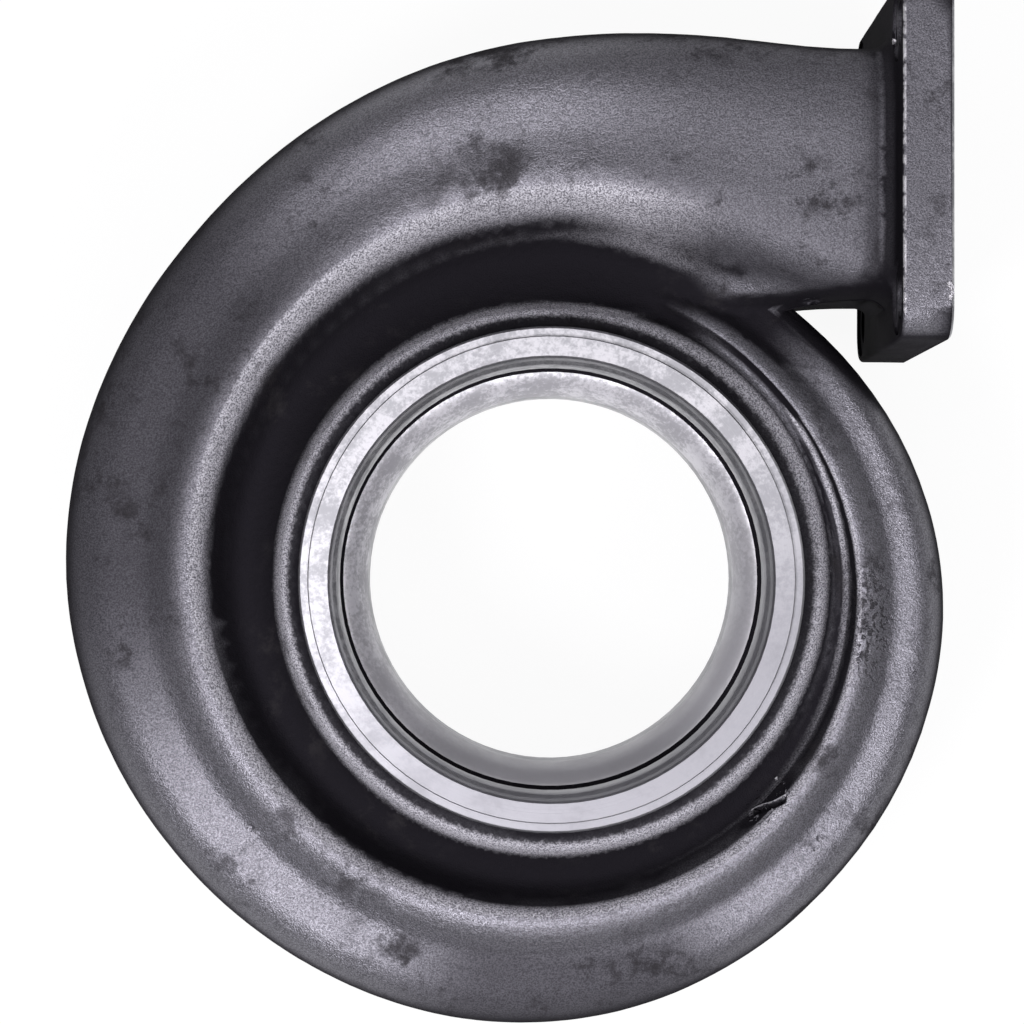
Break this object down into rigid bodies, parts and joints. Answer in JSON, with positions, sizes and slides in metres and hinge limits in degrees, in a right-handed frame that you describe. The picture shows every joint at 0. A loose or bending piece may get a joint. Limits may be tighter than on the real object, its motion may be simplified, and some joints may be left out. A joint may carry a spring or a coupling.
{
  "type": "turbocharger turbine housing",
  "caption": "Cast iron twin scroll turbine housing: a divided inlet flange feeds a spiral duct round a bored centre with a clamp ring.",
  "frame": {"origin": "centre of the outlet bore, on the outlet face that the part rests on", "axes": "+Z along the turbine axis from the outlet to the bearing side, +X out of the inlet flange, +Y to the side that the inlet duct runs along"},
  "size_m": [0.2776, 0.3216, 0.1485],
  "materials": {
    "cast_iron": "sand cast skin, with bright machined ring, bores and flange faces"
  },
  "bodies": {
    "root": {"turbine_housing": "cast_iron"}
  },
  "joints": []
}
